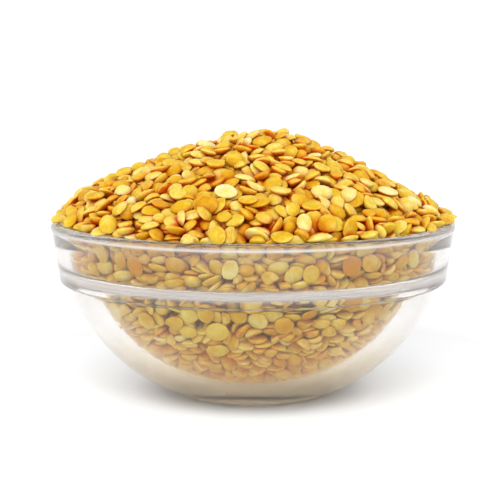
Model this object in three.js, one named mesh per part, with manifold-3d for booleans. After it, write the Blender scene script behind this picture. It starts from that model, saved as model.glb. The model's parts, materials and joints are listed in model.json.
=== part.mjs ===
// A dish of dry split lentils: a clear pressed-glass stacking bowl, heaped above its rim.
// Units are millimetres and +Z is up. The origin is the middle of the foot ring's resting plane.

import * as THREE from 'three';
import { mergeVertices } from 'three/addons/utils/BufferGeometryUtils.js';
import Module from 'manifold-3d';

// Bowl
const RIM_RADIUS = 70.35;        // widest point of the rounded lip
const BOWL_HEIGHT = 61.3;
const LIP_HALF_WIDTH = 2;
const LIP_ROUND_HEIGHT = 2.1;    // from the lip's widest point to its top
const BODY_ARC_RADIUS = 61.57;   // the body below the collar is one arc in section
const BODY_ARC_CENTRE_R = 5.68;  // distance of the arc's centre from the axis
const BODY_ARC_CENTRE_Z = 58.26;
const WALL = 7.5;                // body wall
const BASE = 7.5;                // glass under the floor
const FOOT_INNER_RADIUS = 21.5;
const FOOT_OUTER_RADIUS = 25.2;
const FOOT_RECESS = 0.8;         // depth of the hollow inside the foot ring
const FOOT_SLOPE = 1.5;          // width of the ring's inner slope
const FOOT_EDGE_Z = 0.3;         // where the foot ring's outer edge runs into the body
const COLLAR_BOTTOM_Z = 40.3;    // underside of the stacking collar
const COLLAR_BOTTOM_RADIUS = 67.6;
const COLLAR_EDGE_ROUND = 1.2;   // rounding of the collar's bottom edge
const COLLAR_FILLET = 0.4;       // between the body and the collar's underside
const COLLAR_TOP_INSET = 0.6;    // the collar's top inside the lip's widest point
const COLLAR_INNER_RADIUS = 63.8;
const COLLAR_FLARE = 1.1;        // the collar's inside widens by this over the flare's height
const COLLAR_FLARE_HEIGHT = 8;
const SHOULDER_Z = 46.2;         // inside, where the thin collar meets the thick body
const SHOULDER_HEIGHT = 3.6;
const SHOULDER_ROUND = 1.9;
const FLOOR_FILLET = 8;
const FLOOR_EDGE_RISE = 1;       // the body's arc stops this far above the floor

// Heap
const HEAP_TOP_Z = 93.2;
const HEAP_SLOPE = 0.458;        // fall per mm of radius, beyond the blunt crown
const HEAP_CROWN_RADIUS = 12;
const HEAP_CROWN_ROUND = 8;      // how softly the crown turns into the slope
const HEAP_BROW_RADIUS = 67;     // the slope turns steep here, just inside the lip
const HEAP_EDGE_RADIUS = 69.2;   // where the heap's edge stands on the lip
const HEAP_EDGE_Z = 63.4;
const CORE_DEPTH = 2.2;          // core under the outline of the heap
const CORE_GAP = 1.3;            // core off the glass
const CLEARANCE = 0.3;           // grains off the glass

// Grain: one half of a skinned, split pulse, flat on one face and domed on the other
const GRAIN_RADIUS = 3.2;
const GRAIN_THICKNESS = 2.35;
const GRAIN_RADIUS_SHARES = [0.9, 1.12];       // least and most of the radius
const GRAIN_THICKNESS_SHARES = [0.85, 1.15];
const GRAIN_WIDTH_SHARES = [0.84, 1];          // of the length
const GRAIN_DOME_BEND = [0.68, 0.8];           // shares of the radius and of the thickness
const DOME_OUT_SHARE = 0.6;                    // of the grains; the others show their flat face
const GRAIN_SIDES = 6;
const GRAIN_DEPTH = 1.6;         // middle of a grain under the heap's outline, or off the glass
const SINK_STEP = 0.6;           // a grain that doesn't fit is sunk by this, some times over
const MOST_SINKS = 2;
const ROOTED_VOLUME = 4;         // least cubic millimetres of a grain inside the core
const TOP_SPACING = 7.8;
const TOP_TILT = 0.6;            // most that a grain on top leans off the surface, in radians
const WALL_SPACING = 18;
const WALL_TILT = 0.12;

const BOWL_SEGMENTS = 40;
const BODY_STEPS = 6;            // straight steps along the body's arc
const CORE_SEGMENTS = 20;
const MOUND_STEPS = 6;
const SCATTER_ATTEMPTS = 15000;
const SEED = 7;

const wasm = await Module();
wasm.setup();

function randomFrom(seed) {
  let state = seed;
  return () => {
    state = (state + 0x6d2b79f5) | 0;
    let mixed = Math.imul(state ^ (state >>> 15), 1 | state);
    mixed = (mixed + Math.imul(mixed ^ (mixed >>> 7), 61 | mixed)) ^ mixed;
    return ((mixed ^ (mixed >>> 14)) >>> 0) / 2 ** 32;
  };
}

const random = randomFrom(SEED);
const between = (low, high) => low + (high - low) * random();
const point = (r, z) => new THREE.Vector2(r, z);

function toSolid(geometry) {
  geometry.deleteAttribute('normal');
  geometry.deleteAttribute('uv');
  const merged = mergeVertices(geometry, 1e-4);
  return new wasm.Manifold(new wasm.Mesh({
    numProp: 3,
    vertProperties: merged.getAttribute('position').array,
    triVerts: new Uint32Array(merged.index.array),
  }));
}

function toMesh(name, solid, material) {
  const { vertProperties, triVerts } = solid.getMesh();
  const geometry = new THREE.BufferGeometry();
  geometry.setAttribute('position', new THREE.BufferAttribute(vertProperties, 3));
  geometry.setIndex(new THREE.BufferAttribute(triVerts, 1));
  geometry.computeVertexNormals();
  const mesh = new THREE.Mesh(geometry, material);
  mesh.name = name;
  return mesh;
}

// A solid of revolution about +Z from a profile of (radius, z) that starts and ends on the axis.
function turned(profile, segments) {
  return toSolid(new THREE.LatheGeometry(profile, segments).rotateX(Math.PI / 2));
}

// The (radius, z) points of an arc about the body's centre, between two heights.
function bodyArc(radius, fromZ, toZ, steps) {
  const angleAt = (z) => Math.asin((z - BODY_ARC_CENTRE_Z) / radius);
  const start = angleAt(fromZ);
  const sweep = angleAt(toZ) - start;
  return Array.from({ length: steps + 1 }, (_, i) => {
    const angle = start + (sweep * i) / steps;
    return point(BODY_ARC_CENTRE_R + radius * Math.cos(angle), BODY_ARC_CENTRE_Z + radius * Math.sin(angle));
  });
}

// Moves a profile sideways by a distance, to the right of its direction of travel.
// A point on the axis stays on it.
function offset(profile, distance) {
  return profile.map((here, i) => {
    const before = profile[Math.max(i - 1, 0)];
    const after = profile[Math.min(i + 1, profile.length - 1)];
    const travel = after.clone().sub(before).normalize();
    const r = here.x === 0 ? 0 : here.x + travel.y * distance;
    return point(r, here.y - travel.x * distance);
  });
}

// Points of the lip's rounding, by angle from its outer side over its top to its inner side.
function lipArc(fromDegrees, toDegrees, steps) {
  return Array.from({ length: steps + 1 }, (_, i) => {
    const angle = THREE.MathUtils.degToRad(fromDegrees + ((toDegrees - fromDegrees) * i) / steps);
    const r = RIM_RADIUS - LIP_HALF_WIDTH * (1 - Math.cos(angle));
    return point(r, BOWL_HEIGHT - LIP_ROUND_HEIGHT * (1 - Math.sin(angle)));
  });
}

// From the axis under the foot, up the body and the collar, to the top of the lip.
function outerProfile() {
  return [
    point(0, FOOT_RECESS),
    point(FOOT_INNER_RADIUS - FOOT_SLOPE, FOOT_RECESS),
    point(FOOT_INNER_RADIUS, 0),
    point(FOOT_OUTER_RADIUS, 0),
    ...bodyArc(BODY_ARC_RADIUS, FOOT_EDGE_Z, COLLAR_BOTTOM_Z - COLLAR_FILLET, BODY_STEPS),
    point(COLLAR_BOTTOM_RADIUS - 2 * COLLAR_EDGE_ROUND, COLLAR_BOTTOM_Z),
    point(COLLAR_BOTTOM_RADIUS - COLLAR_EDGE_ROUND / 2, COLLAR_BOTTOM_Z + COLLAR_EDGE_ROUND / 4),
    point(COLLAR_BOTTOM_RADIUS, COLLAR_BOTTOM_Z + COLLAR_EDGE_ROUND),
    point(RIM_RADIUS - COLLAR_TOP_INSET, BOWL_HEIGHT - 2 * LIP_ROUND_HEIGHT),
    ...lipArc(0, 90, 2),
  ];
}

// From the lip down the inside of the collar, over the shoulder and along the body to the axis.
function innerProfile() {
  const radius = BODY_ARC_RADIUS - WALL;
  const body = bodyArc(radius, SHOULDER_Z - SHOULDER_HEIGHT, BASE + FLOOR_EDGE_RISE, BODY_STEPS - 1);
  const floorRadius = body[body.length - 1].x - FLOOR_FILLET;
  return [
    ...lipArc(135, 180, 1),
    point(COLLAR_INNER_RADIUS + COLLAR_FLARE, SHOULDER_Z + COLLAR_FLARE_HEIGHT),
    point(COLLAR_INNER_RADIUS, SHOULDER_Z),
    point(COLLAR_INNER_RADIUS - SHOULDER_ROUND, SHOULDER_Z - SHOULDER_ROUND),
    ...body,
    point(floorRadius, BASE),
    point(0, BASE),
  ];
}

// How far a radius is past the blunt crown, turning smoothly from none to the full distance.
function pastCrown(radius) {
  const past = radius - HEAP_CROWN_RADIUS;
  return (past + Math.hypot(past, HEAP_CROWN_ROUND)) / 2;
}

// Height of the heap's outline over a radius: a blunt crown, then an even slope.
function moundZ(radius) {
  return HEAP_TOP_Z - HEAP_SLOPE * (pastCrown(radius) - pastCrown(0));
}

// The heap's outline above the lip, from its edge up to the axis.
function moundProfile() {
  const slope = Array.from({ length: MOUND_STEPS + 1 }, (_, i) => {
    const radius = HEAP_BROW_RADIUS * (1 - i / MOUND_STEPS);
    return point(radius, moundZ(radius));
  });
  return [point(HEAP_EDGE_RADIUS, HEAP_EDGE_Z), ...slope];
}

// The bare heap: it fills the bowl and rises to just under the heap's outline.
function coreProfile() {
  const againstGlass = offset(innerProfile(), CORE_GAP).reverse();
  return [...againstGlass, ...offset(moundProfile(), -CORE_DEPTH)];
}

// One grain lying flat on z = 0, dome up, a little oval and uneven in size.
function grainGeometry() {
  const radius = GRAIN_RADIUS * between(...GRAIN_RADIUS_SHARES);
  const thickness = GRAIN_THICKNESS * between(...GRAIN_THICKNESS_SHARES);
  const [bendRadius, bendHeight] = GRAIN_DOME_BEND;
  const profile = [
    point(0, 0),
    point(radius, 0),
    point(radius * bendRadius, thickness * bendHeight),
    point(0, thickness),
  ];
  return new THREE.LatheGeometry(profile, GRAIN_SIDES)
    .rotateX(Math.PI / 2)
    .scale(1, between(...GRAIN_WIDTH_SHARES), 1)
    .translate(0, 0, -thickness / 2);
}

// Places at random over a turned profile, no two nearer than the spacing.
// Each has its position and the normal to the right of the profile's travel.
function scatter(profile, spacing) {
  const bands = profile.slice(1).map((end, i) => {
    const start = profile[i];
    return { start, end, area: (start.x + end.x) * start.distanceTo(end) };
  });
  const total = bands.reduce((sum, band) => sum + band.area, 0);
  const places = [];
  for (let attempt = 0; attempt < SCATTER_ATTEMPTS; attempt += 1) {
    let pick = random() * total;
    const band = bands.find(({ area }) => (pick -= area) <= 0) ?? bands[0];
    const at = band.start.clone().lerp(band.end, random());
    if (random() * Math.max(band.start.x, band.end.x) > at.x) continue;
    const turn = random() * 2 * Math.PI;
    const travel = band.end.clone().sub(band.start).normalize();
    const position = new THREE.Vector3(at.x * Math.cos(turn), at.x * Math.sin(turn), at.y);
    const normal = new THREE.Vector3(travel.y * Math.cos(turn), travel.y * Math.sin(turn), -travel.x);
    if (places.every((other) => other.position.distanceTo(position) > spacing)) {
      places.push({ position, normal });
    }
  }
  return places;
}

// A grain at a place, turned at random, tilted off the surface and sunk under it.
function placedGrain(place, depth, tilt, domeOut) {
  const axis = new THREE.Vector3(0, 0, domeOut ? 1 : -1);
  const spin = new THREE.Quaternion().setFromAxisAngle(axis, between(0, 2 * Math.PI));
  const stand = new THREE.Quaternion().setFromUnitVectors(axis, place.normal);
  const side = place.normal.clone().cross(new THREE.Vector3(0, 0, 1)).normalize();
  side.applyAxisAngle(place.normal, between(0, 2 * Math.PI));
  const lean = new THREE.Quaternion().setFromAxisAngle(side, tilt);
  const turn = lean.multiply(stand).multiply(spin);
  const position = place.position.clone().addScaledVector(place.normal, -depth);
  const matrix = new THREE.Matrix4().compose(position, turn, new THREE.Vector3(1, 1, 1));
  return toSolid(grainGeometry().applyMatrix4(matrix));
}

function makeBowl() {
  return turned([...outerProfile(), ...innerProfile()], BOWL_SEGMENTS);
}

// What grains stay out of: the bowl, grown by the clearance.
function makeKeepOut() {
  const outside = offset(outerProfile(), CLEARANCE);
  const inside = offset(innerProfile(), CLEARANCE);
  return turned([...outside, ...inside], BOWL_SEGMENTS);
}

// A grain at a place, sunk until it clears the bowl and is rooted in the core,
// or nothing where it never is.
function fittedGrain(place, mostTilt, core, keepOut) {
  const tilt = between(0, mostTilt);
  const domeOut = random() < DOME_OUT_SHARE;
  for (let sinks = 0; sinks <= MOST_SINKS; sinks += 1) {
    const grain = placedGrain(place, GRAIN_DEPTH + sinks * SINK_STEP, tilt, domeOut);
    const isRooted = grain.intersect(core).volume() > ROOTED_VOLUME;
    if (isRooted && grain.intersect(keepOut).isEmpty()) return grain;
  }
  return null;
}

// The core with the grains that show fused on.
function makeHeap() {
  const core = turned(coreProfile(), CORE_SEGMENTS);
  const keepOut = makeKeepOut();
  const againstGlass = innerProfile().slice(1, -1).reverse();
  const grains = [
    ...scatter(moundProfile(), TOP_SPACING).map((place) => fittedGrain(place, TOP_TILT, core, keepOut)),
    ...scatter(againstGlass, WALL_SPACING).map((place) => fittedGrain(place, WALL_TILT, core, keepOut)),
  ].filter(Boolean);
  return grains.reduce((heap, grain) => heap.add(grain), core);
}

const glass = new THREE.MeshStandardMaterial({
  color: 0xe6ebe8,
  roughness: 0.04,
  metalness: 0,
  transparent: true,
  opacity: 0.35,
});
const splitLentil = new THREE.MeshStandardMaterial({ color: 0xe6a52c, roughness: 0.6, metalness: 0 });

const dish = new THREE.Group();
dish.add(toMesh('bowl', makeBowl(), glass));
dish.add(toMesh('lentils', makeHeap(), splitLentil));

export default dish;
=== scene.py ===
import json
import math

import bpy
import numpy as np
from mathutils import Matrix, Quaternion, Vector
from mathutils.kdtree import KDTree

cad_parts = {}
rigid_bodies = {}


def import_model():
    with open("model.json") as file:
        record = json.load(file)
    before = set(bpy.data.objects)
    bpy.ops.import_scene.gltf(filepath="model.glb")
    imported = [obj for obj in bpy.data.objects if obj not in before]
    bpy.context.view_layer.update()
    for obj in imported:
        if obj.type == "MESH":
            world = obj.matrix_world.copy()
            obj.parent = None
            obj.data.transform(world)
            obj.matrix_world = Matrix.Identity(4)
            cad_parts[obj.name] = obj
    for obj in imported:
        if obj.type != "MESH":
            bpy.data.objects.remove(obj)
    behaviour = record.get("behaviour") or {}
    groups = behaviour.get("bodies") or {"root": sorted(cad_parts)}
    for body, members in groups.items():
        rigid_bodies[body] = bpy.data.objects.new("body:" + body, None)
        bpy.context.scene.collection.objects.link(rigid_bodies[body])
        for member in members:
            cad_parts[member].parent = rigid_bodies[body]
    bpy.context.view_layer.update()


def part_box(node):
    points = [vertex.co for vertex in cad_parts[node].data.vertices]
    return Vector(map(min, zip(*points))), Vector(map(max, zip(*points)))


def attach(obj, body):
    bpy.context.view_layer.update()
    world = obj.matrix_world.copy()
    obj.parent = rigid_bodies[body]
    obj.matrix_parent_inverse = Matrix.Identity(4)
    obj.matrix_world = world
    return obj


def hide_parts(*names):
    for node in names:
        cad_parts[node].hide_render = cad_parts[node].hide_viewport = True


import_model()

# A clear stacking bowl heaped with dry split lentils.
# Profiles, grains and the pour are in millimetres. Each mesh that is kept is in metres.

MM = 0.001

# Bowl
RIM_RADIUS = 70.35
BOWL_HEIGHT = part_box("bowl")[1][2] / MM
LIP_HALF_WIDTH = 2.0
LIP_ROUND_HEIGHT = 2.1
BODY_ARC_RADIUS = 61.57
BODY_ARC_CENTRE_R = 5.68
BODY_ARC_CENTRE_Z = 58.26
BODY_ARC_STEPS = 30
WALL = 7.5
BASE = 7.5
FOOT_INNER_RADIUS = 21.5
FOOT_OUTER_RADIUS = 25.2
FOOT_RECESS = 0.8
FOOT_SLOPE = 1.5
FOOT_EDGE_Z = 0.3
COLLAR_BOTTOM_Z = 40.3
COLLAR_BOTTOM_RADIUS = 67.6
COLLAR_EDGE_ROUND = 1.2
COLLAR_FILLET = 0.5
COLLAR_TOP_INSET = 0.6
COLLAR_INNER_RADIUS = 63.8
COLLAR_MIDDLE_RADIUS = 64.5          # parts the collar's outer surface from the inner one
COLLAR_FLARE = 1.1
COLLAR_FLARE_HEIGHT = 8.0
SHOULDER_Z = 46.2
SHOULDER_HEIGHT = 3.6
# Points of the shoulder's rounding, out and up from where the collar's inside would meet it.
SHOULDER_TURN = ((0.1, 0.6), (-0.3, -0.4), (-1.9, -1.9))
SHOULDER_END = (0.6, 0.5)            # and of its end, out and up from the body's arc
FLOOR_FILLET = 8.0
FLOOR_EDGE_RISE = 1.0
FLOOR_BEND = (0.4, 0.25)             # the fillet's middle point, as shares of its width and rise
BOWL_SEGMENTS = 192
BOWL_STEP = 1.0                      # longest straight length along the bowl's section

# Glass
GLASS_IOR = 1.5
GLASS_MIRROR_TINT = (0.78, 0.69, 0.55)
# The base's warm colour is a painted reflection, as if the glass there mirrored the grains.
GLASS_BASE_REFLECTION_TINT = (0.82, 0.65, 0.385)
GLASS_TINT = (0.872, 0.845, 0.825)
GLASS_TINT_HEIGHTS = (2, 28)         # the base's tint fades into the other between them
GLASS_WAVES = (60.0, 1.0)            # scale and detail
GLASS_WAVE_STRENGTH = 0.04
GLASS_WAVE_DEPTH = 0.6
GLASS_CLEAR = 0.99
COLLAR_MILK = 0.015
BASE_FROST = 0.2
BASE_FROST_HEIGHTS = (4.0, 24.0)
# Bands round the bowl where the glass isn't quite clear: the height of the middle, the half
# width, the radii that it lies between, and how frosted and how milky it is. In order they are
# the inside shoulder, the lip's widest line, the collar's bottom edge, the belt in front of the
# shoulder, and the neck under the lip. The milk is painted light, white in place of clear glass:
# a painted highlight along the lip's widest line, and painted light that brightens the inside
# shoulder, the belt and the neck.
BANDS = (
    (SHOULDER_Z - 1.8, 1.6, 0.0, COLLAR_MIDDLE_RADIUS, 0.2, 0.4),
    (BOWL_HEIGHT - LIP_ROUND_HEIGHT, 0.55, RIM_RADIUS - 1.0, math.inf, 0.5, 0.5),
    (COLLAR_BOTTOM_Z + 0.8, 1.0, COLLAR_MIDDLE_RADIUS, math.inf, 0.12, 0.0),
    (44.3, 1.5, COLLAR_MIDDLE_RADIUS, math.inf, 0.0, 0.26),
    (56.5, 1.8, RIM_RADIUS - 1.5, math.inf, 0.0, 0.06),
)

# Heap
HEAP_TOP_Z = 92.9
HEAP_SLOPE = 0.458
HEAP_CROWN_RADIUS = 12.0
HEAP_CROWN_ROUND = 8.0
HEAP_BROW = (67.2, 68.9)             # radius and height where the slope turns steep
HEAP_EDGE = (70.3, 62.8)             # radius and height of its edge on the lip
HEAP_LEAN_TOP = 5.0
HEAP_LEAN_TURN_RADIUS = 34.0
CORE_OFF_GLASS = 7.6
CORE_UNDER_TOP = 7.4
CORE_NECK_Z = 43.0
CORE_SHOULDER = (56.5, 61.5)         # radius and height
CORE_SHOULDER_ROUND = 1.0
CORE_SIDE_STEPS = 20
CORE_TOP_POINTS = 16
CORE_SEGMENTS = 96

# Grains
GRAIN_RADIUS = 3.2
GRAIN_RADIUS_SPREAD = 0.11           # standard deviation, as a share
GRAIN_RADIUS_SHARES = (0.75, 1.3)    # least and most
GRAIN_WIDTH_SHARES = (0.74, 1.0)     # of the length
GRAIN_THICKNESS = 2.35
GRAIN_THICKNESS_SHARES = (0.85, 1.15)
GRAIN_SIDES = 12
SHAPES = 18
BROKEN_SHAPES = 3
# What makes one shape unlike the next, in shares of its half size. Most are drawn between a
# least and a most; the phases and the dent's half angle are in radians.
OVAL = (0.01, 0.05)
TRIANGULAR = (0.01, 0.04)
PHASE = (0, 6.28)
DENT = (0, 0.12)
DENT_HALF_ANGLE = 0.4
FULLNESS = (0.8, 1.25)
DOME_LEAN = (-0.2, 0.2)
PLUMPNESS = (0.1, 1.0)
FLAT_FACE_DISH = (-0.05, 0.2)
UNEVENNESS = (0.018, 0.018, 0.05)
BREAK_PLACE = (-0.1, 0.5)
BREAK_SLANT = (-0.35, 0.35)
BREAK_RAGGED = (-0.05, 0.05)
BREAK_UNDERCUT = 0.12
# Rings of a half seed from the middle of its flat face, round its edge, to the top of its dome:
# share of the radius, then the height of a flat and of a plump seed, from -1 at the flat face
# to 1 at the top.
SEED_RINGS = (
    (0.6, -1.0, -0.88),
    (0.9, -0.99, -0.58),
    (0.98, -0.84, -0.36),
    (1.0, -0.6, -0.2),
    (0.94, -0.08, 0.1),
    (0.76, 0.44, 0.5),
    (0.43, 0.85, 0.86),
)
FLAT_FACE_BELOW = -0.9               # rings below this height belong to the flat face
HULL_RINGS = (1, 3, 5)

# Places where the grains start
GLASS_CLEARANCE = 0.25
GRAIN_SPACING = 6.6
LEVEL_HEIGHT = 1.8
FIRST_LEVEL = 1.6                    # over the bowl's floor
LAST_LEVEL = 1.0                     # over the rim
START_OFF_GLASS = 0.3
START_IN_CORE = 1.0
DROP_RISE = 1.8                      # of the first layer over the core's top
DROP_RADIUS = 68.5
DROP_OVER_RIM = 2.5
DROP_SPACING = 5.2
TOP_LAYERS = 6
EXTRA_LAYERS = 3
EXTRA_GAP = (20.0, 46.0)             # the radii that the extra layers lie between
WALL_TIP = 0.5
START_TIP = 0.06
START_JITTER = 0.3
DOME_DOWN_SHARE = 0.5

# Pouring and settling
SETTLE_FRAMES = ((34, 14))
FRAME_RATE = 60
SUBSTEPS = 2
SOLVER_ITERATIONS = 10
GRAVITY = 500.0                      # weak, so that the grains settle gently
GRAIN_MARGIN = 0.05
WALL_MARGIN = 0.1
GRAIN_FRICTION = 0.9
MOVE_DAMPING = 0.1
TURN_DAMPING = 0.9
LYING_SHARE = 0.5
FACING_SHARE = 0.35
# A slippery fence round the heap while it settles: radius and height.
GUARD = (HEAP_EDGE, (72.0, 66.0), (72.0, 130.0))
GUARD_FRICTION = 0.1
OUTLINE_SLACK = 0.4

# Painted shade in the crevices between the grains: a grain's colour is darkened to deep orange
# where its neighbours hide the light from it.
NEIGHBOUR_REACH = 7.5
ITSELF_REACH = 0.01                  # a middle nearer than this is the grain's own
FACING_BIAS = 0.1
EDGE_ON_SHARE = 0.35
NEAR_SOFTENING = 1.5
CREVICE_SHADE_START = 0.16
CREVICE_SHADE_FULL = 1.2
CREVICE_SHADE_IN_BOWL = 0.45
CREVICE_SHADE_TINT = (0.87, 0.17, 0.0)

# Skins. Colours are linear RGB.
# Each kind of whole grain: its share of them, and its tones from palest to deepest.
KINDS = {
    "lentils_golden": (
        0.36, ((0.66, 0.54, 0.180), (0.595, 0.42, 0.040), (0.53, 0.27, 0.004)),
    ),
    "lentils_yellow": (
        0.36, ((0.67, 0.58, 0.230), (0.61, 0.465, 0.060), (0.55, 0.32, 0.007)),
    ),
    "lentils_amber": (
        0.18, ((0.64, 0.47, 0.110), (0.58, 0.35, 0.021), (0.51, 0.215, 0.003)),
    ),
    "lentils_pale": (
        0.10, ((0.68, 0.63, 0.33), (0.64, 0.55, 0.18), (0.59, 0.42, 0.045)),
    ),
}
BROKEN_TONES = ((0.69, 0.56, 0.20), (0.60, 0.42, 0.06), (0.51, 0.27, 0.02))
# The core's tones are painted shade: dark orange-brown, as grains deep in the heap look in shade.
CORE_SHADE_TONES = ((0.56, 0.26, 0.04), (0.40, 0.15, 0.015))
TONE_SPREAD = 0.40
TONE_START = -0.60
TONE_FULL = 0.62
BLOTCHES = (260.0, 2.0, 1.0)         # scale, detail and weight
MOTTLES = (1100.0, 3.0, 0.55)
PITS = (900.0, 4.0)
PIT_STRENGTH = 0.5
PIT_DEPTH = 0.3
# Painted highlight along each grain's rim: its tint, the rim share where it starts, and its
# weight.
RIM_HIGHLIGHT_TINT = (1, 0.85, 0.35)
RIM_HIGHLIGHT_START = 0.90
RIM_HIGHLIGHT_WEIGHT = 0.07
SKIN_ROUGHNESS = 0.4
SKIN_SPECULAR = 0.05
SKIN_SCATTER_WEIGHT = 0.5
SKIN_SCATTER_REACH = 1.5
SKIN_SCATTER_SHARES = (1.0, 0.36, 0.05)   # of the reach, for red, green and blue

# Stage
FLOOR_SIZE = 60.0
FLOOR_ROUGHNESS = 0.7
# The floor's colour by its distance from the middle, in metres: a painted shadow, darker and
# bluer, round the bowl's foot, a painted light that brightens a ring just beyond it, and an even
# pale floor further out.
FLOOR_SHADOW_AND_LIGHT_TONES = (
    (0.030, (0.60, 0.66, 0.76)),
    (0.042, (0.84, 0.91, 0.985)),
    (0.058, (0.93, 0.97, 1.0)),
    (0.085, (0.905, 0.925, 0.95)),
    (0.125, (0.77, 0.77, 0.77)),
)
SKY_TINT = (0.985, 0.99, 1.0)
# The sky's strength along Y and Z: where a change starts and ends, and its two strengths.
SKY_FRONT_TO_BACK = (-0.6, 0.6, 1.65, 1.1)
SKY_ZENITH = (0.2, 1.0, 1.0, 0.75)
SKY_FRONT_GAP = (-0.94, -0.80, 0.35, 1.0)
LAMP = 1.85
LAMP_ANGLE = 50
LAMP_TILT = (57, -8)
LAMP_TINT = (1.0, 0.99, 0.97)
CAMERA_LENS = 107.5
CAMERA_PLACE = (-0.00104, -0.520, 0.1233)
CAMERA_DIP = 8.04                    # degrees below level
BOUNCES = 48
GLOSSY_BOUNCES = 16

rng = np.random.default_rng(11)


# ---------------------------------------------------------------- profiles

def arc(centre, radii, from_deg, to_deg, steps):
    """Points of an elliptic arc in the (radius, height) plane."""
    turns = np.radians(np.linspace(from_deg, to_deg, steps + 1))
    return [
        (centre[0] + radii[0] * math.cos(t), centre[1] + radii[1] * math.sin(t)) for t in turns
    ]


def body_arc(radius, from_z, to_z, steps):
    """The body's arc between two heights."""
    centre = (BODY_ARC_CENTRE_R, BODY_ARC_CENTRE_Z)
    ends = [math.degrees(math.asin((z - BODY_ARC_CENTRE_Z) / radius)) for z in (from_z, to_z)]
    return arc(centre, (radius, radius), ends[0], ends[1], steps)


def lip_arc(from_deg, to_deg, steps):
    """The lip's rounding, by angle from its outer side over its top."""
    centre = (RIM_RADIUS - LIP_HALF_WIDTH, BOWL_HEIGHT - LIP_ROUND_HEIGHT)
    return arc(centre, (LIP_HALF_WIDTH, LIP_ROUND_HEIGHT), from_deg, to_deg, steps)


def outer_profile():
    """From the axis under the foot up to the lip's top."""
    edge = (COLLAR_BOTTOM_RADIUS - COLLAR_EDGE_ROUND, COLLAR_BOTTOM_Z + COLLAR_EDGE_ROUND)
    body_top = COLLAR_BOTTOM_Z - COLLAR_FILLET
    return [
        (0.0, FOOT_RECESS),
        (FOOT_INNER_RADIUS - FOOT_SLOPE, FOOT_RECESS),
        (FOOT_INNER_RADIUS, 0.0),
        (FOOT_OUTER_RADIUS, 0.0),
        *body_arc(BODY_ARC_RADIUS, FOOT_EDGE_Z, body_top, BODY_ARC_STEPS),
        (COLLAR_BOTTOM_RADIUS - 2 * COLLAR_EDGE_ROUND, COLLAR_BOTTOM_Z - COLLAR_FILLET / 4),
        *arc(edge, (COLLAR_EDGE_ROUND, COLLAR_EDGE_ROUND), -90, 0, 6),
        (RIM_RADIUS - COLLAR_TOP_INSET, BOWL_HEIGHT - 2 * LIP_ROUND_HEIGHT),
        *lip_arc(0, 90, 6),
    ]


def inner_profile():
    """From beyond the lip's top down the inside to the axis."""
    radius = BODY_ARC_RADIUS - WALL
    body = body_arc(radius, SHOULDER_Z - SHOULDER_HEIGHT, BASE + FLOOR_EDGE_RISE, BODY_ARC_STEPS)
    last_radius = body[-1][0]
    return [
        *lip_arc(105, 180, 5),
        (COLLAR_INNER_RADIUS + COLLAR_FLARE, SHOULDER_Z + COLLAR_FLARE_HEIGHT),
        *[(COLLAR_INNER_RADIUS + out, SHOULDER_Z + up) for out, up in SHOULDER_TURN],
        (body[0][0] + SHOULDER_END[0], body[0][1] + SHOULDER_END[1]),
        *body,
        (last_radius - FLOOR_BEND[0] * FLOOR_FILLET, BASE + FLOOR_BEND[1] * FLOOR_EDGE_RISE),
        (last_radius - FLOOR_FILLET, BASE),
        (0.0, BASE),
    ]


def offset(profile, distance):
    """The profile moved to the right of its direction; a point on the axis stays on it."""
    moved = []
    for i, (r, z) in enumerate(profile):
        before = profile[max(i - 1, 0)]
        after = profile[min(i + 1, len(profile) - 1)]
        run, rise = after[0] - before[0], after[1] - before[1]
        length = math.hypot(run, rise)
        new_r = 0.0 if r == 0 else r + rise / length * distance
        moved.append((new_r, z - run / length * distance))
    return moved


def subdivided(profile, longest):
    """The profile with its straight lengths split evenly, so that none is longer than longest."""
    points = [profile[0]]
    for (r0, z0), (r1, z1) in zip(profile, profile[1:]):
        count = math.ceil(math.hypot(r1 - r0, z1 - z0) / longest)
        for i in range(1, count + 1):
            points.append((r0 + (r1 - r0) * i / count, z0 + (z1 - z0) * i / count))
    return points


def inside_radius(height):
    """How far from the axis a grain may reach at a height inside the glass."""
    radii, heights = np.array(offset(inner_profile(), GLASS_CLEARANCE)).T[:, ::-1]
    return np.interp(height, heights, radii)


def mound_z(radius):
    """Height of the heap's outline over a radius: a blunt crown, then an even slope."""
    past_crown = radius - HEAP_CROWN_RADIUS
    run = (past_crown + np.hypot(past_crown, HEAP_CROWN_ROUND)) / 2
    run_at_middle = (math.hypot(HEAP_CROWN_RADIUS, HEAP_CROWN_ROUND) - HEAP_CROWN_RADIUS) / 2
    return HEAP_TOP_Z - HEAP_SLOPE * (run - run_at_middle)


def outline_z(x, y):
    """Height of the heap's outline over a point, with its steep edge over the rim.

    The top leans to one side and the slopes below it to the other.
    """
    radius = np.hypot(x, y)
    lean = HEAP_LEAN_TOP * (1 - radius / HEAP_LEAN_TURN_RADIUS)
    slope = mound_z(np.hypot(x - lean, y))
    (brow_radius, brow_z), (edge_radius, edge_z) = HEAP_BROW, HEAP_EDGE
    steep = brow_z - (radius - brow_radius) / (edge_radius - brow_radius) * (brow_z - edge_z)
    return np.minimum(slope, steep)


def core_profile():
    """The heap's own core, from the axis near the bowl's floor round to the axis at the top."""
    radius = BODY_ARC_RADIUS - WALL - CORE_OFF_GLASS
    side = body_arc(radius, BASE + CORE_OFF_GLASS, CORE_NECK_Z, CORE_SIDE_STEPS)
    top_radii = np.linspace(CORE_SHOULDER[0] - CORE_SHOULDER_ROUND, 0.0, CORE_TOP_POINTS)
    top = [(r, mound_z(r) - CORE_UNDER_TOP) for r in top_radii]
    return [(0.0, BASE + CORE_OFF_GLASS), *side, CORE_SHOULDER, *top]


# ---------------------------------------------------------------- mesh making

def link(name, data):
    piece = bpy.data.objects.new(name, data)
    bpy.context.scene.collection.objects.link(piece)
    return piece


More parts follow.
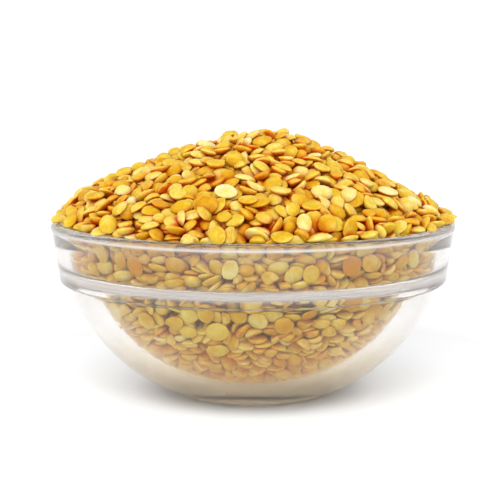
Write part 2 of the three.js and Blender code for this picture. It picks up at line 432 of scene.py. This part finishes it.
def lathe_data(profile, segments):
    """Vertices and faces of a profile turned about Z; points on the axis become one vertex."""
    vertices, faces, rings = [], [], []
    for r, z in profile:
        start = len(vertices)
        count = 1 if r == 0 else segments
        for k in range(count):
            turn = 2 * math.pi * k / segments
            vertices.append((r * math.cos(turn), r * math.sin(turn), z))
        rings.append([start + k % count for k in range(segments + 1)])
    for low, high in zip(rings, rings[1:]):
        for k in range(segments):
            corners = [low[k], low[k + 1], high[k + 1], high[k]]
            face = list(dict.fromkeys(corners))
            if len(face) > 2:
                faces.append(face)
    return np.array(vertices), faces


def lathe(name, profile, segments, scale=MM):
    vertices, faces = lathe_data(profile, segments)
    mesh = bpy.data.meshes.new(name)
    mesh.from_pydata((vertices * scale).tolist(), [], faces)
    mesh.update()
    mesh.shade_smooth()
    return link(name, mesh)


def set_attribute(mesh, label, values):
    layer = mesh.attributes.new(label, "FLOAT", "POINT")
    layer.data.foreach_set("value", values.astype(np.float32))


# ---------------------------------------------------------------- grains

class Shape:
    """One grain shape at unit size, with how near each of its vertices is to the rim."""

    def __init__(self, broken):
        turns = 2 * np.pi * np.arange(GRAIN_SIDES) / GRAIN_SIDES
        wobble = 1 + rng.uniform(*OVAL) * np.cos(2 * turns + rng.uniform(*PHASE))
        wobble += rng.uniform(*TRIANGULAR) * np.cos(3 * turns + rng.uniform(*PHASE))
        wobble -= rng.uniform(*DENT) * np.exp(-((turns - np.pi) / DENT_HALF_ANGLE) ** 2)
        fullness = rng.uniform(*FULLNESS)
        lean = rng.uniform(*DOME_LEAN, 2)
        plump = rng.uniform(*PLUMPNESS)
        dish = rng.uniform(*FLAT_FACE_DISH) * (1 - plump)
        points = [(0.0, 0.0, -1.0 + dish)]
        for share, flat_height, plump_height in SEED_RINGS:
            height = flat_height + plump * (plump_height - flat_height)
            rise = max(height, 0.0)
            bulge = height if height < 0 else 1 - (1 - height) ** fullness
            hollow = dish * (1 - share ** 2) if flat_height < FLAT_FACE_BELOW else 0.0
            for turn, stretch in zip(turns, wobble):
                x = share * stretch * math.cos(turn) + lean[0] * rise
                y = share * stretch * math.sin(turn) + lean[1] * rise
                points.append((x, y, bulge + hollow))
        points.append((lean[0], lean[1], 1.0))
        self.points = np.array(points)
        self.points += rng.uniform(-1, 1, self.points.shape) * UNEVENNESS
        self.rim = np.array([0.0] + [ring[0] for ring in SEED_RINGS for _ in turns] + [0.0])
        if broken:
            self.snap()
        self.faces = self.ring_faces()

    def snap(self):
        """Breaks the seed along a slightly ragged line."""
        x, y, z = self.points.T
        line = rng.uniform(*BREAK_PLACE)
        slant = rng.uniform(*BREAK_SLANT)
        ragged = rng.uniform(*BREAK_RAGGED, len(x))
        self.points[:, 0] = np.minimum(x, line + slant * y + BREAK_UNDERCUT * z + ragged)
        self.points[:, 0] -= self.points[:, 0].mean()

    @staticmethod
    def ring_faces():
        def corner(i, k):
            return 1 + i * GRAIN_SIDES + k % GRAIN_SIDES

        count = len(SEED_RINGS)
        apex = 1 + count * GRAIN_SIDES
        faces = []
        for k in range(GRAIN_SIDES):
            faces.append((0, corner(0, k + 1), corner(0, k)))
            for i in range(count - 1):
                low = (corner(i, k), corner(i, k + 1))
                high = (corner(i + 1, k + 1), corner(i + 1, k))
                faces.append((*low, *high))
            faces.append((corner(count - 1, k), corner(count - 1, k + 1), apex))
        return faces

    def hull_points(self):
        """A few of the vertices, enough for collision."""
        chosen = []
        for i in HULL_RINGS:
            chosen += [1 + i * GRAIN_SIDES + k for k in range(i % 2, GRAIN_SIDES, 2)]
        return self.points[chosen + [len(self.points) - 1]]


def grain_size():
    """Half length, half width and half thickness of one grain."""
    radius = GRAIN_RADIUS * np.clip(rng.normal(1.0, GRAIN_RADIUS_SPREAD), *GRAIN_RADIUS_SHARES)
    width = radius * rng.uniform(*GRAIN_WIDTH_SHARES)
    return np.array([radius, width, GRAIN_THICKNESS / 2 * rng.uniform(*GRAIN_THICKNESS_SHARES)])


# ---------------------------------------------------------------- pouring

def ring_places(radius, z, slope, tip):
    """Evenly spaced start places on a level ring.

    Each has a normal that leans outwards by slope, and how far a grain may tip off it.
    """
    count = max(1, int(2 * math.pi * radius / GRAIN_SPACING))
    turns = rng.uniform(0, 2 * math.pi) + 2 * math.pi * np.arange(count) / count
    places = []
    for c, s in zip(np.cos(turns), np.sin(turns)):
        places.append(((radius * c, radius * s, z), (slope * c, slope * s, 1.0), tip))
    return places


def poured_places():
    """Start places: level rings inside the glass, then layers over the core's top."""
    core = np.array([p for p in core_profile() if p[1] <= CORE_SHOULDER[1]])
    half_height = GRAIN_THICKNESS / 2
    places = []
    for z in np.arange(BASE + FIRST_LEVEL, BOWL_HEIGHT + LAST_LEVEL, LEVEL_HEIGHT):
        outer = inside_radius(z - half_height) - GRAIN_RADIUS - START_OFF_GLASS
        inner = 0.0
        if z + half_height > core[0, 1]:
            inner = np.interp(z, core[:, 1], core[:, 0]) + GRAIN_RADIUS - START_IN_CORE
        for r in np.arange(outer, inner, -GRAIN_SPACING):
            places.extend(ring_places(r, z, 0.0, WALL_TIP))
    for layer in range(TOP_LAYERS + EXTRA_LAYERS):
        rise = DROP_RISE - CORE_UNDER_TOP + layer * DROP_SPACING
        for r in np.arange(0.0, DROP_RADIUS, GRAIN_SPACING):
            z = mound_z(r) + rise
            in_gap = layer >= TOP_LAYERS and EXTRA_GAP[0] < r < EXTRA_GAP[1]
            if z > BOWL_HEIGHT + DROP_OVER_RIM and not in_gap:
                places.extend(ring_places(r, z, HEAP_SLOPE * r / RIM_RADIUS, START_TIP))
    return places


def grain_start(place, normal, tip_spread):
    """A grain lying on its flat or domed face at a place, turned and tipped at random."""
    facing = Vector((0, 0, 1)).rotation_difference(Vector(normal).normalized())
    tip = Quaternion(Vector(rng.normal(size=3)).normalized(), rng.normal(0, tip_spread))
    spin = Quaternion((0, 0, 1), rng.uniform(0, 2 * math.pi))
    flip = Quaternion((1, 0, 0), math.pi if rng.random() < DOME_DOWN_SHARE else 0.0)
    jitter = Vector(rng.uniform(-START_JITTER, START_JITTER, 3))
    turn = (tip @ facing @ spin @ flip).to_matrix().to_4x4()
    return Matrix.Translation(Vector(place) + jitter) @ turn


def set_body(pieces, kind, shape, margin, friction):
    bpy.ops.object.select_all(action="DESELECT")
    for piece in pieces:
        piece.select_set(True)
    bpy.context.view_layer.objects.active = pieces[0]
    bpy.ops.rigidbody.objects_add(type=kind)
    for piece in pieces:
        body = piece.rigid_body
        body.collision_shape = shape
        body.use_margin = True
        body.collision_margin = margin
        body.friction = friction
        body.restitution = 0.0
        body.linear_damping = MOVE_DAMPING
        body.angular_damping = TURN_DAMPING


def settle(shapes):
    """Drops the grains over the core in the bowl.

    Gives each grain's shape, size and resting matrix. Between two pours each grain is laid
    flatter, and the second one lets it come to rest again.
    """
    hulls = []
    grains = []
    for place, normal, tip in poured_places():
        index = int(rng.integers(len(shapes)))
        size = grain_size()
        mesh = bpy.data.meshes.new("hull")
        mesh.from_pydata((shapes[index].hull_points() * size).tolist(), [], [])
        hull = link("hull", mesh)
        hull.matrix_world = grain_start(place, normal, tip)
        hulls.append(hull)
        grains.append((index, size))
    inside = offset([*lip_arc(0, 90, 4), *inner_profile()], GLASS_CLEARANCE)
    bowl = lathe("bowl_inside", inside, CORE_SEGMENTS, 1.0)
    core = lathe("core_outside", core_profile(), CORE_SEGMENTS, 1.0)
    guard = lathe("guard", GUARD, CORE_SEGMENTS, 1.0)
    scene = bpy.context.scene
    bpy.ops.rigidbody.world_add()
    world = scene.rigidbody_world
    world.substeps_per_frame = SUBSTEPS
    world.solver_iterations = SOLVER_ITERATIONS
    world.point_cache.frame_end = max(SETTLE_FRAMES) + 1
    scene.gravity = (0, 0, -GRAVITY)
    scene.render.fps = FRAME_RATE
    set_body(hulls, "ACTIVE", "CONVEX_HULL", GRAIN_MARGIN, GRAIN_FRICTION)
    set_body([bowl, core], "PASSIVE", "MESH", WALL_MARGIN, GRAIN_FRICTION)
    set_body([guard], "PASSIVE", "MESH", WALL_MARGIN, GUARD_FRICTION)
    for frames in SETTLE_FRAMES:
        for step in range(1, frames + 1):
            scene.frame_set(step)
        depsgraph = bpy.context.evaluated_depsgraph_get()
        rested = [Matrix(hull.evaluated_get(depsgraph).matrix_world) for hull in hulls]
        if frames != SETTLE_FRAMES[-1]:
            scene.frame_set(1)
            for hull, matrix in zip(hulls, rested):
                hull.matrix_world = laid_down(matrix)
    bpy.ops.rigidbody.world_remove()
    pieces = [*hulls, bowl, core, guard]
    meshes = [piece.data for piece in pieces]
    bpy.data.batch_remove(pieces)
    bpy.data.batch_remove(meshes)
    scene.frame_set(1)
    return [(index, size, np.array(matrix)) for (index, size), matrix in zip(grains, rested)]


def laid_down(matrix):
    """A grain's matrix turned part of the way to lie flat on the heap, or on the glass."""
    place, turn, _ = matrix.decompose()
    out = Vector((place.x, place.y, 0.0))
    radius = out.length
    out.normalize()
    up = Vector((0, 0, 1))
    if place.z > BOWL_HEIGHT:
        flat = up + HEAP_SLOPE * out
        share = LYING_SHARE
    else:
        flat = (radius - BODY_ARC_CENTRE_R) * out + min(place.z - BODY_ARC_CENTRE_Z, 0.0) * up
        share = FACING_SHARE
    normal = turn @ up
    if normal.dot(flat) < 0:
        flat.negate()
    part = Quaternion().slerp(normal.rotation_difference(flat), share)
    return Matrix.Translation(place) @ (part @ turn).to_matrix().to_4x4()


def inside_outline(grain, shapes):
    """Whether a settled grain keeps inside the glass and the heap's outline."""
    index, size, matrix = grain
    x, y, z = (shapes[index].hull_points() * size @ matrix[:3, :3].T + matrix[:3, 3]).T
    below_top = z < outline_z(x, y) + OUTLINE_SLACK
    in_glass = (z > BOWL_HEIGHT) | (np.hypot(x, y) < inside_radius(z) + OUTLINE_SLACK)
    return bool(np.all(below_top & in_glass)) and z.min() > BASE - OUTLINE_SLACK


def joined_grains(name, shapes, grains, heap):
    """One mesh of some of the heap's grains.

    Each grain has a random tone, and each vertex knows how near its grain's edge it is, which
    sets a painted highlight on the rim, and how deep it lies between its neighbours, which sets
    its painted shade.
    """
    faces_of_one = shapes[0].faces
    count = len(shapes[0].points)
    vertices = np.empty((len(grains) * count, 3))
    rims = np.empty(len(vertices))
    faces = []
    for i, (index, size, matrix) in enumerate(grains):
        first, end = i * count, (i + 1) * count
        local = shapes[index].points * size
        vertices[first:end] = local @ matrix[:3, :3].T + matrix[:3, 3]
        rims[first:end] = shapes[index].rim
        faces.extend([first + corner for corner in face] for face in faces_of_one)
    mesh = bpy.data.meshes.new(name)
    mesh.from_pydata((vertices * MM).tolist(), [], faces)
    mesh.update()
    mesh.shade_smooth()
    normals = np.empty(len(vertices) * 3, np.float32)
    mesh.vertex_normals.foreach_get("vector", normals)
    by_grain = (len(grains), count, 3)
    shade_depth = crevice_shade_depth(vertices.reshape(by_grain), normals.reshape(by_grain), grains, heap)
    set_attribute(mesh, "tone", np.repeat(rng.uniform(0, 1, len(grains)), count))
    set_attribute(mesh, "rim", rims)
    set_attribute(mesh, "crevice_shade", shade_depth.ravel())
    return link(name, mesh)


def crevice_shade_depth(vertices, normals, grains, heap):
    """How much of the view from each vertex its neighbouring grains take, from 0 to 1. It sets
    how deep the vertex's painted shade is, less inside the bowl.
    """
    centres = np.array([matrix[:3, 3] for _, _, matrix in heap])
    axes = np.array([matrix[:3, 2] for _, _, matrix in heap])
    discs = np.array([math.pi * size[:2].mean() ** 2 for _, size, _ in heap])
    tree = KDTree(len(heap))
    for i, centre in enumerate(centres):
        tree.insert(centre, i)
    tree.balance()
    taken = np.zeros(vertices.shape[:2])
    for i, (_, _, matrix) in enumerate(grains):
        near = tree.find_range(matrix[:3, 3], NEIGHBOUR_REACH)
        found = [j for _, j, apart in near if apart > ITSELF_REACH]
        if not found:
            continue
        way = centres[found][:, None] - vertices[i][None]
        square = (way ** 2).sum(2)
        way /= np.sqrt(square)[..., None]
        facing = np.maximum((way * normals[i][None]).sum(2) + FACING_BIAS, 0)
        broadside = np.abs((way * axes[found][:, None]).sum(2))
        area = discs[found][:, None] * (EDGE_ON_SHARE + (1 - EDGE_ON_SHARE) * broadside)
        taken[i] = (facing * area / (math.pi * (square + NEAR_SOFTENING))).sum(0)
    depth = np.clip((taken - CREVICE_SHADE_START) / (CREVICE_SHADE_FULL - CREVICE_SHADE_START), 0, 1)
    return depth * np.where(vertices[..., 2] > BOWL_HEIGHT, 1.0, CREVICE_SHADE_IN_BOWL)


# ---------------------------------------------------------------- materials

class Nodes:
    """A node tree, and the few kinds of node that the materials and the sky are made of."""

    def __init__(self, tree):
        self.tree = tree
        self.wire = tree.links.new

    def new(self, kind, **settings):
        node = self.tree.nodes.new("ShaderNode" + kind)
        for label, value in settings.items():
            setattr(node, label, value)
        return node

    def feed(self, socket, value):
        """Wires another node's output to a socket, or sets the socket's own value."""
        if isinstance(value, bpy.types.NodeSocket):
            self.wire(value, socket)
        else:
            socket.default_value = value

    def coordinates(self, kind):
        return self.new("TexCoord").outputs[kind]

    def attribute(self, label):
        return self.new("Attribute", attribute_name=label).outputs["Fac"]

    def noise(self, place, scale, detail):
        node = self.new("TexNoise")
        node.inputs["Scale"].default_value = scale
        node.inputs["Detail"].default_value = detail
        self.wire(place, node.inputs["Vector"])
        return node.outputs["Fac"]

    def maths(self, operation, *values):
        node = self.new("Math", operation=operation)
        for socket, value in zip(node.inputs, values):
            self.feed(socket, value)
        return node.outputs[0]

    def graded(self, value, start, end, low, high):
        node = self.new("MapRange", interpolation_type="SMOOTHSTEP")
        ends = {"From Min": start, "From Max": end, "To Min": low, "To Max": high}
        for label, number in ends.items():
            node.inputs[label].default_value = number
        self.wire(value, node.inputs["Value"])
        return node.outputs["Result"]

    def mixed(self, blend, factor, first, second):
        node = self.new("Mix", data_type="RGBA", blend_type=blend)
        for label, value in (("Factor", factor), ("A", first), ("B", second)):
            self.feed(node.inputs[label], value)
        return node.outputs["Result"]

    def ramp(self, value, stops):
        """A colour by a value, from stops of a position and a linear RGB colour."""
        node = self.new("ValToRGB")
        elements = node.color_ramp.elements
        while len(elements) < len(stops):
            elements.new(0.5)
        for element, (position, colour) in zip(elements, stops):
            element.position = position
            element.color = (*colour, 1)
        self.wire(value, node.inputs["Fac"])
        return node.outputs["Color"]

    def bump(self, height, strength, distance):
        node = self.new("Bump")
        node.inputs["Strength"].default_value = strength
        node.inputs["Distance"].default_value = distance
        self.wire(height, node.inputs["Height"])
        return node.outputs["Normal"]


def new_material(name):
    material = bpy.data.materials.new(name)
    material.use_nodes = True
    return material, Nodes(material.node_tree), material.node_tree.nodes["Principled BSDF"].inputs


def glass_material():
    """Clear pressed glass: warm at its base with a painted reflection of the grains, faintly
    wavy, frosted and milky by attributes; its milky bands are painted light.
    """
    material, nodes, shader = new_material("clear_glass")
    shader["IOR"].default_value = GLASS_IOR
    shader["Specular Tint"].default_value = (*GLASS_MIRROR_TINT, 1)
    nodes.wire(nodes.attribute("clear"), shader["Transmission Weight"])
    nodes.wire(nodes.attribute("frost"), shader["Roughness"])
    place = nodes.coordinates("Object")
    split = nodes.new("SeparateXYZ")
    nodes.wire(place, split.inputs["Vector"])
    low, high = [height * MM for height in GLASS_TINT_HEIGHTS]
    above_base = nodes.graded(split.outputs["Z"], low, high, 0.0, 1.0)
    # painted reflection: the glass is tinted warm towards its base
    tint_and_reflection = nodes.mixed("MIX", above_base, (*GLASS_BASE_REFLECTION_TINT, 1), (*GLASS_TINT, 1))
    nodes.wire(tint_and_reflection, shader["Base Color"])
    waves = nodes.noise(place, *GLASS_WAVES)
    rippled = nodes.bump(waves, GLASS_WAVE_STRENGTH, GLASS_WAVE_DEPTH * MM)
    nodes.wire(rippled, shader["Normal"])
    return material


def lentil_material(name, tones):
    """Tones run from a grain's palest to its deepest colour."""
    material, nodes, shader = new_material(name)
    place = nodes.coordinates("Object")
    tone = nodes.maths("MULTIPLY_ADD", nodes.attribute("tone"), TONE_SPREAD, TONE_START)
    for scale, detail, weight in (BLOTCHES, MOTTLES):
        tone = nodes.maths("MULTIPLY_ADD", nodes.noise(place, scale, detail), weight, tone)
    stops = [(TONE_FULL * i / (len(tones) - 1), colour) for i, colour in enumerate(tones)]
    skin = nodes.ramp(tone, stops)
    # painted highlight: a pale yellow tint is added along each grain's rim
    highlight_stops = ((RIM_HIGHLIGHT_START, (0, 0, 0)), (1.0, RIM_HIGHLIGHT_TINT))
    edge = nodes.ramp(nodes.attribute("rim"), highlight_stops)
    highlighted = nodes.mixed("ADD", RIM_HIGHLIGHT_WEIGHT, skin, edge)
    # painted shade: the colour is multiplied towards deep orange where the vertex lies deep
    # between grains
    shaded = nodes.mixed("MULTIPLY", nodes.attribute("crevice_shade"), highlighted, (*CREVICE_SHADE_TINT, 1))
    nodes.wire(shaded, shader["Base Color"])
    shader["Roughness"].default_value = SKIN_ROUGHNESS
    shader["Specular IOR Level"].default_value = SKIN_SPECULAR
    shader["Subsurface Weight"].default_value = SKIN_SCATTER_WEIGHT
    shader["Subsurface Radius"].default_value = SKIN_SCATTER_SHARES
    shader["Subsurface Scale"].default_value = SKIN_SCATTER_REACH * MM
    pits = nodes.noise(place, *PITS)
    nodes.wire(nodes.bump(pits, PIT_STRENGTH, PIT_DEPTH * MM), shader["Normal"])
    return material


# ---------------------------------------------------------------- pieces

def show(piece, material, node):
    piece.data.materials.append(material)
    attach(piece, "root")
    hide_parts(node)


def make_bowl():
    """The bowl. Its frost attribute is its roughness and its clear attribute how clear it is;
    where the bands lower clarity, the white that shows is painted light.
    """
    profile = subdivided([*outer_profile(), *inner_profile()], BOWL_STEP)
    bowl = lathe("glass_bowl", profile, BOWL_SEGMENTS)
    places = np.array([v.co for v in bowl.data.vertices]) / MM
    radii, heights = np.hypot(places[:, 0], places[:, 1]), places[:, 2]
    below_centre = np.minimum(np.abs(heights - BODY_ARC_CENTRE_Z), BODY_ARC_RADIUS)
    body_radii = BODY_ARC_CENTRE_R + np.sqrt(BODY_ARC_RADIUS ** 2 - below_centre ** 2)
    low, high = BASE_FROST_HEIGHTS
    depth = np.clip((high - heights) / (high - low), 0, 1)
    frost = BASE_FROST * depth * (radii > body_radii - 1)
    on_collar = (heights > COLLAR_BOTTOM_Z) & (radii > COLLAR_MIDDLE_RADIUS)
    clear = GLASS_CLEAR - COLLAR_MILK * on_collar
    for middle, half_width, least_radius, most_radius, band_frost, band_painted_light in BANDS:
        band = np.exp(-((heights - middle) / half_width) ** 2)
        band *= (radii > least_radius) & (radii < most_radius)
        frost += band_frost * band
        # painted light: a band's milk shows white where light would catch the glass
        clear -= band_painted_light * band
    set_attribute(bowl.data, "frost", frost)
    set_attribute(bowl.data, "clear", clear)
    show(bowl, glass_material(), "bowl")


def make_lentils():
    shapes = [Shape(broken=i >= SHAPES - BROKEN_SHAPES) for i in range(SHAPES)]
    grains = [g for g in settle(shapes) if inside_outline(g, shapes)]
    whole = [g for g in grains if g[0] < SHAPES - BROKEN_SHAPES]
    broken = [g for g in grains if g[0] >= SHAPES - BROKEN_SHAPES]
    ends = np.cumsum([share for share, _ in KINDS.values()])
    kinds = np.searchsorted(ends, rng.uniform(0, ends[-1], len(whole)))
    for kind, (name, (_, tones)) in enumerate(KINDS.items()):
        chosen = [g for g, k in zip(whole, kinds) if k == kind]
        piece = joined_grains(name, shapes, chosen, grains)
        show(piece, lentil_material(name, tones), "lentils")
    piece = joined_grains("lentils_broken", shapes, broken, grains)
    show(piece, lentil_material("lentils_broken", BROKEN_TONES), "lentils")
    # The core fills the heap under the grains; its dark tones are painted shade seen through the
    # gaps.
    core = lathe("lentil_core", core_profile(), CORE_SEGMENTS)
    show(core, lentil_material("lentil_core", CORE_SHADE_TONES), "lentils")


# ---------------------------------------------------------------- stage

def make_floor():
    bpy.ops.mesh.primitive_plane_add(size=FLOOR_SIZE)
    floor = bpy.context.object
    floor.name = "floor"
    material, nodes, shader = new_material("pale_floor")
    shader["Roughness"].default_value = FLOOR_ROUGHNESS
    away = nodes.new("VectorMath", operation="LENGTH")
    nodes.wire(nodes.coordinates("Object"), away.inputs[0])
    # painted shadow and light: the floor darkens near the bowl's foot and brightens in a ring
    # round it
    nodes.wire(nodes.ramp(away.outputs["Value"], FLOOR_SHADOW_AND_LIGHT_TONES), shader["Base Color"])
    floor.data.materials.append(material)


def make_sky():
    world = bpy.data.worlds.new("studio")
    world.use_nodes = True
    nodes = Nodes(world.node_tree)
    way = nodes.new("SeparateXYZ")
    nodes.wire(nodes.coordinates("Generated"), way.inputs["Vector"])
    strength = nodes.graded(way.outputs["Y"], *SKY_FRONT_TO_BACK)
    for axis, change in (("Z", SKY_ZENITH), ("Y", SKY_FRONT_GAP)):
        strength = nodes.maths("MULTIPLY", strength, nodes.graded(way.outputs[axis], *change))
    background = world.node_tree.nodes["Background"].inputs
    background["Color"].default_value = (*SKY_TINT, 1)
    nodes.wire(strength, background["Strength"])
    bpy.context.scene.world = world


def make_lamp():
    light = bpy.data.lights.new("overhead", "SUN")
    light.energy = LAMP
    light.angle = math.radians(LAMP_ANGLE)
    light.color = LAMP_TINT
    lamp = link("overhead", light)
    lamp.rotation_euler = (math.radians(LAMP_TILT[0]), math.radians(LAMP_TILT[1]), 0)


def make_camera():
    camera = bpy.data.cameras.new("camera")
    camera.sensor_width = 36
    camera.lens = CAMERA_LENS
    holder = link("camera", camera)
    holder.location = CAMERA_PLACE
    holder.rotation_euler = (math.radians(90 - CAMERA_DIP), 0, 0)
    bpy.context.scene.camera = holder


def set_rendering():
    scene = bpy.context.scene
    scene.view_settings.view_transform = "Standard"
    scene.cycles.max_bounces = BOUNCES
    scene.cycles.transmission_bounces = BOUNCES
    scene.cycles.glossy_bounces = GLOSSY_BOUNCES
    scene.cycles.blur_glossy = 0.0


make_camera()
make_floor()
make_sky()
make_lamp()
make_bowl()
make_lentils()
set_rendering()
